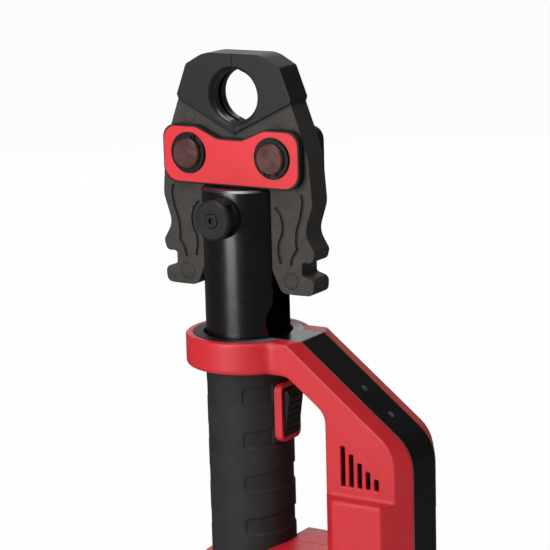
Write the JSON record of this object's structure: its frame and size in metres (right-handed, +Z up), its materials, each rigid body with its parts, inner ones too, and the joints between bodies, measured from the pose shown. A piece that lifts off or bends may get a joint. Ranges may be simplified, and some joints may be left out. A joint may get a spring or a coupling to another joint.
{
  "type": "pex press tool",
  "caption": "Cordless press tool for pipe fittings: a hinged press jaw on a black swivelling barrel, held in a red and black loop handle with a trigger and a slide-on battery.",
  "frame": {"origin": "where the press axis meets the surface that the tool stands on, under the battery pack", "axes": "+Z up along the press axis, +X to the leg of the loop handle, -Y to the retaining bolt's knob"},
  "size_m": [0.1905, 0.084, 0.439],
  "materials": {
    "jaw_steel": "forged, dark phosphate, machined on the pressing head",
    "plate_black": "satin black coat",
    "label_red": "plain red foil, no lettering",
    "pin_steel": "brown-red oxide",
    "clip_steel": "dull spring steel",
    "head_black": "gloss black coat with bright machined chamfers",
    "bolt_steel": "ground",
    "knob_plastic": "fine grain",
    "inner_steel": "turned",
    "gear_steel": "hobbed",
    "seal_rubber": "moulded",
    "spring_steel": "oil tempered",
    "bronze": "turned",
    "housing_red": "fine grain, satin on the bevels",
    "cover_black": "gloss",
    "lens": "translucent white",
    "screw_black": "black oxide",
    "grip_rubber": "moulded, matt",
    "inner_plastic": "moulded",
    "trigger_black": "ridged",
    "frame_red": "moulded",
    "switch_blue": "moulded",
    "pump_alloy": "machined",
    "stator_stack": "laminated stack with enamelled windings",
    "board_green": "solder mask",
    "contact_brass": "plated",
    "battery_black": "moulded, fine grain",
    "cell_blue": "shrink sleeve"
  },
  "bodies": {
    "body": {"housing_left": "housing_red", "housing_right": "housing_red", "back_cover": "cover_black", "status_lenses": "lens", "housing_screws": "screw_black", "grip_sleeve": "grip_rubber", "grip_core": "inner_plastic", "trigger_frame": "frame_red", "trigger_pin": "bolt_steel", "trigger_switch": "switch_blue", "swivel_bush": "bronze", "pump_block": "pump_alloy", "pump_plunger": "inner_steel", "relief_valve": "bronze", "oil_bladder": "seal_rubber", "ring_gear": "gear_steel", "motor_can": "inner_steel", "motor_stator": "stator_stack", "motor_bearings": "bolt_steel", "control_board": "board_green", "terminal_block": "inner_plastic"},
    "head": {"press_head": "head_black", "swivel_clip": "clip_steel", "side_plate_front": "plate_black", "side_plate_rear": "plate_black", "label_front": "label_red", "label_rear": "label_red", "jaw_pins": "pin_steel", "pin_clips": "clip_steel", "anchor_block": "jaw_steel", "anchor_rivets": "clip_steel", "jaw_spring": "spring_steel", "rod_seal": "seal_rubber", "return_spring": "spring_steel"},
    "carriage": {"roller_carriage": "inner_steel", "roller_axles": "bolt_steel", "piston": "inner_steel", "piston_seal": "seal_rubber"},
    "left_jaw": {"jaw_left": "jaw_steel"},
    "right_jaw": {"jaw_right": "jaw_steel"},
    "left_roller": {"roller_left": "inner_steel"},
    "right_roller": {"roller_right": "inner_steel"},
    "bolt": {"retaining_bolt": "bolt_steel", "bolt_knob": "knob_plastic"},
    "button": {"bolt_button": "knob_plastic"},
    "trigger_lever": {"trigger": "trigger_black"},
    "battery": {"battery_tub": "battery_black", "battery_lid": "battery_black", "battery_cells": "cell_blue", "battery_contacts": "contact_brass", "battery_screws": "screw_black"},
    "left_latch": {"latch_left": "frame_red"},
    "right_latch": {"latch_right": "frame_red"},
    "rotor": {"motor_rotor": "inner_steel", "sun_pinion": "gear_steel"},
    "carrier": {"planet_carrier": "gear_steel", "eccentric_bearing": "inner_steel"},
    "first_planet": {"planet_a": "gear_steel"},
    "second_planet": {"planet_b": "gear_steel"},
    "third_planet": {"planet_c": "gear_steel"}
  },
  "joints": [
    {"name": "head_swivel", "type": "hinge", "parent": "body", "child": "head", "pos_m": [0, 0, 0.2315], "axis": [0, 0, 1], "range_deg": [-135, 135]},
    {"name": "press_stroke", "type": "slide", "parent": "head", "child": "carriage", "axis": [0, 0, 1], "range_m": [-0.038, 0], "deforming": ["return_spring", "jaw_spring"]},
    {"name": "jaw_right_pivot", "type": "hinge", "parent": "head", "child": "right_jaw", "pos_m": [0.0323, 0, 0.373], "axis": [0, 1, 0], "range_deg": [0, 10]},
    {"name": "jaw_left_pivot", "type": "hinge", "parent": "head", "child": "left_jaw", "pos_m": [-0.0323, 0, 0.373], "axis": [0, -1, 0], "range_deg": [0, 10]},
    {"name": "roller_right_spin", "type": "hinge", "parent": "carriage", "child": "right_roller", "pos_m": [0.0095, 0, 0.313], "axis": [0, 1, 0], "range_deg": [-245, 0]},
    {"name": "roller_left_spin", "type": "hinge", "parent": "carriage", "child": "left_roller", "pos_m": [-0.0095, 0, 0.313], "axis": [0, 1, 0], "range_deg": [0, 245]},
    {"name": "bolt_pull", "type": "slide", "parent": "head", "child": "bolt", "axis": [0, -1, 0], "range_m": [0, 0.037]},
    {"name": "button_press", "type": "slide", "parent": "bolt", "child": "button", "axis": [0, 1, 0], "range_m": [0, 0.002], "stiffness_N_per_m": 800},
    {"name": "trigger_squeeze", "type": "hinge", "parent": "body", "child": "trigger_lever", "pos_m": [0.03, 0, 0.1876], "axis": [0, -1, 0], "range_deg": [0, 6], "stiffness_Nm_per_rad": 1},
    {"name": "battery_slide", "type": "slide", "parent": "body", "child": "battery", "axis": [-1, 0, 0], "range_m": [0, 0.1]},
    {"name": "latch_left_press", "type": "slide", "parent": "battery", "child": "left_latch", "axis": [0, 1, 0], "range_m": [0, 0.002], "stiffness_N_per_m": 1500},
    {"name": "latch_right_press", "type": "slide", "parent": "battery", "child": "right_latch", "axis": [0, -1, 0], "range_m": [0, 0.002], "stiffness_N_per_m": 1500},
    {"name": "rotor_spin", "type": "hinge", "parent": "body", "child": "rotor", "pos_m": [0, 0, 0.0906], "axis": [0, 0, 1], "continuous": true},
    {"name": "carrier_spin", "type": "hinge", "parent": "body", "child": "carrier", "pos_m": [0, 0, 0.118], "axis": [0, 0, 1], "continuous": true},
    {"name": "first_planet_spin", "type": "hinge", "parent": "carrier", "child": "first_planet", "pos_m": [0.012, 0, 0.1128], "axis": [0, 0, 1], "continuous": true},
    {"name": "second_planet_spin", "type": "hinge", "parent": "carrier", "child": "second_planet", "pos_m": [-0.006, 0.01039, 0.1128], "axis": [0, 0, 1], "continuous": true},
    {"name": "third_planet_spin", "type": "hinge", "parent": "carrier", "child": "third_planet", "pos_m": [-0.006, -0.01039, 0.1128], "axis": [0, 0, 1], "continuous": true}
  ],
  "couplings": [
    {"joint": "jaw_right_pivot", "follows": "press_stroke", "rad_per_m": -4.59},
    {"joint": "jaw_left_pivot", "follows": "press_stroke", "rad_per_m": -4.59},
    {"joint": "roller_right_spin", "follows": "press_stroke", "rad_per_m": 111.11},
    {"joint": "roller_left_spin", "follows": "press_stroke", "rad_per_m": -111.11},
    {"joint": "carrier_spin", "follows": "rotor_spin", "ratio": 0.2},
    {"joint": "first_planet_spin", "follows": "rotor_spin", "ratio": -0.53333},
    {"joint": "second_planet_spin", "follows": "rotor_spin", "ratio": -0.53333},
    {"joint": "third_planet_spin", "follows": "rotor_spin", "ratio": -0.53333}
  ]
}
